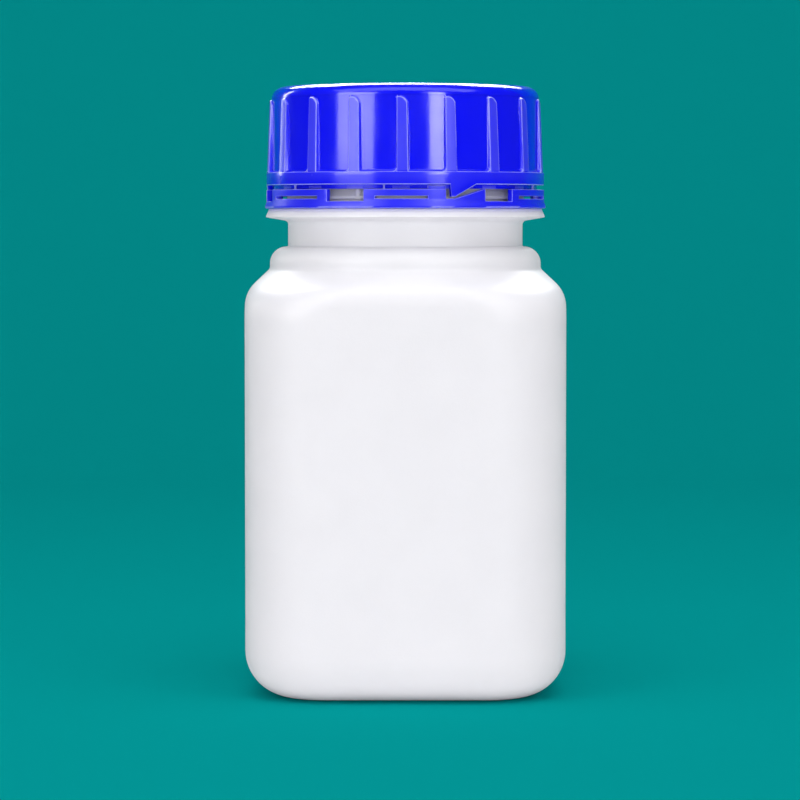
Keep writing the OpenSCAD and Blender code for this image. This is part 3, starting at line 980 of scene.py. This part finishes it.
def cap_skin(cap, d, column):
    """One column of the cap's skin, from the middle of its top to its inner roof, as
    points with their dullness."""
    angle = column[0]
    round_r, bore = cap.edge_radius, d.cap_bore
    gate_z = d.cap_top - GATE_DEPTH
    low = d.flange_z - dog_reach(d, angle)
    lip_r, lip_z = d.band_bore - cap.lip_gap, d.flange_z - cap.lip_drop
    lip_soft = 0.1 * MM
    top = ([(0, gate_z), (GATE_RADIUS, gate_z), (GATE_RADIUS + 0.3 * MM, d.cap_top)]
           + [(r * MM, d.cap_top) for r in (5, 10, 15, 20)]
           + arc(d.cap - round_r, d.cap_top - round_r, round_r, 90, 0, 12)[:-1])
    edge = ([(d.flange, low + LOW_EDGE + 0.02 * MM)]
            + arc(d.flange - LOW_EDGE, low + LOW_EDGE, LOW_EDGE, 0, -90, 4)
            + [(d.band_bore + 0.06 * MM, low), (d.band_bore, low + 0.02 * MM),
               (d.band_bore, d.flange_z)])
    lip = [(lip_r, d.flange_z), (lip_r, lip_z + lip_soft), (lip_r - lip_soft, lip_z),
           (bore + lip_soft, lip_z), (bore, lip_z + lip_soft)]
    bead = [(bore - depth * MM, d.lip + rise * MM) for depth, rise in LINER_BEAD]
    roof = [(bore, d.top_in), (bore * 0.6, d.top_in), (0, d.top_in)]
    return ([(polar(angle, r, z), 0) for r, z in top]
            + [(polar(turn, r, z), dull) for r, z, dull, turn in cap_wall(cap, d, column)]
            + [(polar(angle, r, z), 0) for r, z in edge + lip + bead + roof])


def build_cap(scene):
    """The cap: ribbed wall, flange with three dogs, inner thread and liner bead."""
    cap, neck, d = scene.bottle_cap, scene.bottle_neck, derive(scene)
    levels = list(zip(*(cap_skin(cap, d, column) for column in cap_columns(cap, d))))
    bm = bmesh.new()
    grip = bm.verts.layers.float.new("grip_face")
    rows = add_loft(bm, [[point for point, _ in level] for level in levels])
    for row, level in zip(rows, levels):
        for vert, (_, dullness) in zip(row, level):
            vert[grip] = dullness
    mesh_drop = neck.thread_crest + FLANK * (neck.thread_depth - NECK_GAP) + THREAD_PLAY
    add_thread(bm, d.cap_bore, d.neck + NECK_GAP, d.thread_low - mesh_drop,
               neck.thread_pitch, 1.5, neck.thread_crest)
    add_piece("cap_shell", bm, cap_gloss(scene.bottle_finish), "screw_cap")


# ---------------------------------------------------------------- the band

def band_columns():
    """Angles of one third of the band, at every edge of its pattern."""
    marks = sorted({WINDOWS[1][1] - THIRD, *SLOTS[0], *SLOTS[1], *VALLEY, *WINDOWS[0],
                    *WINDOWS[1]})
    columns = []
    for start, end in zip(marks, marks[1:]):
        turns = span(start, end, max(1, math.ceil((end - start) / BAND_STEP)))
        columns += zip(turns, turns[1:])
    return columns


def band_tops(d, start, end):
    """Cells (low, left top, right top) above the ring, in one column of the band."""
    middle = (start + end) / 2
    bridge, block = (d.ring_z, d.valley_z, d.valley_z), (d.band_top, d.band_top)
    if any(left < middle < right for left, right in WINDOWS):
        return []
    if VALLEY[0] < middle < VALLEY[1]:
        return [bridge]
    if VALLEY[1] < middle < VALLEY[2]:
        rise = (d.band_top - d.valley_z) / (VALLEY[2] - VALLEY[1])
        ramp = [d.valley_z + rise * (angle - VALLEY[1]) for angle in (start, end)]
        return [bridge, (d.valley_z, *ramp)]
    if VALLEY[2] < middle < WINDOWS[0][0]:
        return [bridge, (d.valley_z, *block)]
    if any(left < middle < right for left, right in SLOTS):
        return [bridge, (d.slot_top, *block)]
    return [bridge, (d.slot_top, *block), (d.valley_z, d.slot_top, d.slot_top)]


def band_cells(d):
    """Cells of the band, each as (angle, height) corners seen from outside."""
    foot = [d.band_z, d.band_z + 0.2 * MM, d.band_z + 0.5 * MM, d.ring_z]
    ring = [(low, high, high) for low, high in zip(foot, foot[1:])]
    cells = []
    for i in range(REPEATS):
        for start, end in band_columns():
            a, b = start + i * THIRD, end + i * THIRD
            for low, left, right in ring + band_tops(d, start, end):
                cells.append([(a, low), (b, low), (b, right), (a, left)])
    return cells


def add_shell(bm, cells, outer, inner):
    """Adds a wall made of cells, from an outer to an inner radius, with its edges."""
    verts, sides = {}, {}

    def vert(corner, radius):
        """The point at a cell's corner, on the outer or the inner skin."""
        key = (round(corner[0] % 360, 3), round(corner[1] / MM, 4), radius is inner)
        if key not in verts:
            verts[key] = bm.verts.new(polar(corner[0], radius(corner[1]), corner[1]))
        return verts[key]

    for cell in cells:
        outside = [vert(corner, outer) for corner in cell]
        inside = [vert(corner, inner) for corner in cell]
        loop = [i for i in range(4) if outside[i] is not outside[i - 1]]
        bm.faces.new([outside[i] for i in loop])
        bm.faces.new([inside[i] for i in reversed(loop)])
        for i, j in zip(loop, loop[1:] + loop[:1]):
            sides[outside[i], outside[j]] = inside[i], inside[j]
    # a side that no second cell shares is on the rim
    rims = [(b, a, inner_a, inner_b) for (a, b), (inner_a, inner_b) in sides.items()
            if (b, a) not in sides]
    for rim in sorted(rims, key=lambda face: (*face[0].co, *face[1].co)):
        bm.faces.new(rim)


def build_band(scene):
    """The break-away band with its slots, windows, ramps and inner hooks."""
    band, d = scene.bottle_band, derive(scene)
    rim_height, rim_soft = 0.1 * MM, 0.15 * MM

    def outer(z):
        """The band's outer radius at a height, with its flared lower edge."""
        if z < d.band_z + rim_height:
            return d.band + band.flare - rim_soft
        return d.band + band.flare if z < d.ring_z - rim_height else d.band

    bm = bmesh.new()
    add_shell(bm, band_cells(d), outer, lambda z: d.band_bore)
    root, tip = d.band_bore + SINK, d.neck + NECK_GAP
    hook = [(root, d.hook_z - HOOK_SLOPE), (tip, d.hook_z + HOOK_SLOPE),
            (tip, d.hook_z + band.hook), (root, d.hook_z + band.hook)]
    back, face = d.band_bore + 0.2 * MM, d.band - STEP_INSET
    low, high = d.band_top - SINK, BOX["tamper_band"][1].z
    step = [(back, low), (face, low), (face, high), (back, high)]
    for turn in spread(0, 360, REPEATS):
        for start, end in HOOKS:
            add_bar(bm, hook, start + turn, end + turn, 14)
        add_bar(bm, step, BLOCK_STEP[0] + turn, BLOCK_STEP[1] + turn, 4)
    merge_doubles(bm)
    sharp = [edge for edge in bm.edges if edge.calc_face_angle(0) > math.radians(40)]
    bmesh.ops.bevel(bm, geom=sharp, offset=band.edge, segments=2, profile=0.5,
                    affect="EDGES", clamp_overlap=True)
    piece = add_piece("break_away_band", bm, band_gloss(scene.bottle_finish),
                      "tamper_band", sharp=60)
    piece.modifiers.new("even shading", "WEIGHTED_NORMAL").keep_sharp = True


def build_ties(scene):
    """The six thin ties between the band and the cap, each thinnest at its middle."""
    band, d = scene.bottle_band, derive(scene)
    inner = d.band_bore + TIE_INSET
    bm = bmesh.new()
    for turn in spread(0, 360, REPEATS):
        for tie in TIES:
            add_block(bm, tie + turn, band.tie_width, (inner, inner + band.tie_depth),
                      (d.band_top, d.flange_z), 0.12 * MM, waist=0.62)
    add_piece("band_ties", bm, band_gloss(scene.bottle_finish), "break_ties")


def build_liner(scene):
    """The foamed wad in the cap's roof, and the film that faces it."""
    d, finish = derive(scene), scene.bottle_finish
    edge = BOX["liner_wad"][1].x
    low, high = (corner.z for corner in BOX["liner_wad"])
    bm = bmesh.new()
    add_lathe(bm, soften([(0, low), (edge * 0.5, low), (edge, low), (edge, high),
                          (edge * 0.5, high), (0, high)], 0.15 * MM))
    add_piece("foam_wad", bm, get_material(foamed_wad, finish.foam), "liner_wad")
    low, high = (corner.z for corner in BOX["liner_facing"])
    bm = bmesh.new()
    add_lathe(bm, soften([(0, low), (d.bore - 0.3 * MM, low), (d.bore, low + PRESS),
                          (d.neck, low + PRESS), (d.neck + 0.3 * MM, low), (edge, low),
                          (edge, high), (edge * 0.5, high), (0, high)], 0.05 * MM))
    add_piece("sealing_film", bm, get_material(facing_film, finish.film), "liner_facing")


# ---------------------------------------------------------------- the stage

def floor_paper(tree, shader, colour_seen):
    """Matte paper, tinted where the camera sees it and plain for its bounced light."""
    path = add_node(tree, "ShaderNodeLightPath")
    seen = add_math(tree, "MAXIMUM", path["Is Camera Ray"],
                    add_math(tree, "MAXIMUM", path["Is Glossy Ray"],
                             path["Is Transmission Ray"]))
    feed(tree, shader, Base_Color=add_blend(tree, seen, BOUNCE, tinted(colour_seen)),
         Roughness=0.9, Specular_IOR_Level=0.0)


def add_floor(stage):
    """Adds the floor, which bends up into the backdrop."""
    # the flat part has points of its own, so that its shading stays even
    sweep = ([(FLOOR_FRONT, 0), (BEND_START, 0)]
             + arc(BEND_START, BEND_RADIUS, BEND_RADIUS, -90, 0, 15)
             + [(BEND_START + BEND_RADIUS, SWEEP_TOP)])
    bm = bmesh.new()
    add_loft(bm, [[Vector((-FLOOR_SIDE, y, z)), Vector((FLOOR_SIDE, y, z))]
                  for y, z in sweep], closed=False)
    add_object("floor", bm, get_material(floor_paper, stage.floor))


def aim_at(holder, target):
    """Turns a lamp or the camera towards a point."""
    look = target - holder.location
    holder.rotation_euler = look.to_track_quat("-Z", "Y").to_euler()


def add_lamp(name, azimuth, elevation, distance, size, power, shiny, lit):
    """Adds a rectangular lamp that lights the bottle, is mirrored in it or both."""
    lamp = bpy.data.lights.new(name, "AREA")
    lamp.shape = "RECTANGLE"
    lamp.size, lamp.size_y = size
    lamp.energy = power
    holder = bpy.data.objects.new(name, lamp)
    rise = math.radians(elevation)
    holder.location = LAMP_AIM + polar(azimuth, distance * math.cos(rise),
                                       distance * math.sin(rise))
    aim_at(holder, LAMP_AIM)
    holder.visible_camera = False
    holder.visible_glossy = shiny
    holder.visible_diffuse = lit
    bpy.context.scene.collection.objects.link(holder)


def add_even_light(scene):
    """Adds an even white light from all around, which mirrors hardly show."""
    stage = scene.bottle_stage
    scene.world = bpy.data.worlds.new("even light")
    scene.world.use_nodes = True
    tree = scene.world.node_tree
    glossy = add_node(tree, "ShaderNodeLightPath")["Is Glossy Ray"]
    less = add_math(tree, "MULTIPLY", glossy, stage.mirrored - stage.fill)
    feed(tree, tree.nodes["Background"], Color=(1, 1, 1, 1),
         Strength=add_math(tree, "ADD", less, stage.fill))


def add_camera(scene):
    """Adds the camera in front of the bottle, level with its shoulder."""
    stage = scene.bottle_stage
    camera = bpy.data.cameras.new("camera")
    camera.lens = stage.lens
    holder = bpy.data.objects.new("camera", camera)
    holder.location = (-stage.aside, -stage.distance, stage.height)
    aim_at(holder, Vector((-stage.aside, 0, stage.aim)))
    scene.collection.objects.link(holder)
    scene.camera = holder


def build_stage(scene):
    """Floor with a swept backdrop, soft lamps, even light around and the camera."""
    add_floor(scene.bottle_stage)
    add_even_light(scene)
    for lamp in LAMPS:
        add_lamp(*lamp)
    add_camera(scene)
    scene.view_settings.view_transform = "Standard"


# ---------------------------------------------------------------- operators and panel

class BOTTLE_OT_stage(Operator):
    """Set up the floor, the lamps and the camera"""
    bl_idname = "bottle.stage"
    bl_label = "Stage"

    def execute(self, context):
        build_stage(context.scene)
        return {"FINISHED"}


class BOTTLE_OT_bottle(Operator):
    """Build the blown body with its threaded neck"""
    bl_idname = "bottle.bottle"
    bl_label = "Bottle"

    def execute(self, context):
        build_bottle(context.scene)
        return {"FINISHED"}


class BOTTLE_OT_cap(Operator):
    """Build the ribbed screw cap"""
    bl_idname = "bottle.cap"
    bl_label = "Screw cap"

    def execute(self, context):
        build_cap(context.scene)
        return {"FINISHED"}


class BOTTLE_OT_band(Operator):
    """Build the break-away band and its ties"""
    bl_idname = "bottle.band"
    bl_label = "Break-away band"

    def execute(self, context):
        build_band(context.scene)
        build_ties(context.scene)
        return {"FINISHED"}


class BOTTLE_OT_liner(Operator):
    """Build the foam wad and the film that faces it"""
    bl_idname = "bottle.liner"
    bl_label = "Cap liner"

    def execute(self, context):
        build_liner(context.scene)
        return {"FINISHED"}


class BOTTLE_PT_sidebar(Panel):
    """Settings and steps of the bottle"""
    bl_idname = "BOTTLE_PT_sidebar"
    bl_label = "Bottle"
    bl_space_type = "VIEW_3D"
    bl_region_type = "UI"
    bl_category = "Bottle"

    def draw(self, context):
        for operator in OPERATORS:
            self.layout.operator(operator.bl_idname)
        for name, group in SETTINGS.items():
            box = self.layout.box()
            box.label(text=group.__name__.replace("Settings", ""))
            for key in group.__annotations__:
                box.prop(getattr(context.scene, name), key)


OPERATORS = (BOTTLE_OT_stage, BOTTLE_OT_bottle, BOTTLE_OT_cap, BOTTLE_OT_band,
             BOTTLE_OT_liner)
CLASSES = (*SETTINGS.values(), *OPERATORS, BOTTLE_PT_sidebar)


def register():
    """Registers the classes, and gives the scene its settings."""
    for cls in CLASSES:
        bpy.utils.register_class(cls)
    for name, group in SETTINGS.items():
        setattr(bpy.types.Scene, name, PointerProperty(type=group))


def unregister():
    """Takes the settings and the classes away again."""
    for name in SETTINGS:
        delattr(bpy.types.Scene, name)
    for cls in reversed(CLASSES):
        bpy.utils.unregister_class(cls)


def main():
    """Builds the stage and every piece in order."""
    register()
    bpy.ops.bottle.stage()
    bpy.ops.bottle.bottle()
    bpy.ops.bottle.cap()
    bpy.ops.bottle.band()
    bpy.ops.bottle.liner()


if __name__ == "__main__":
    main()
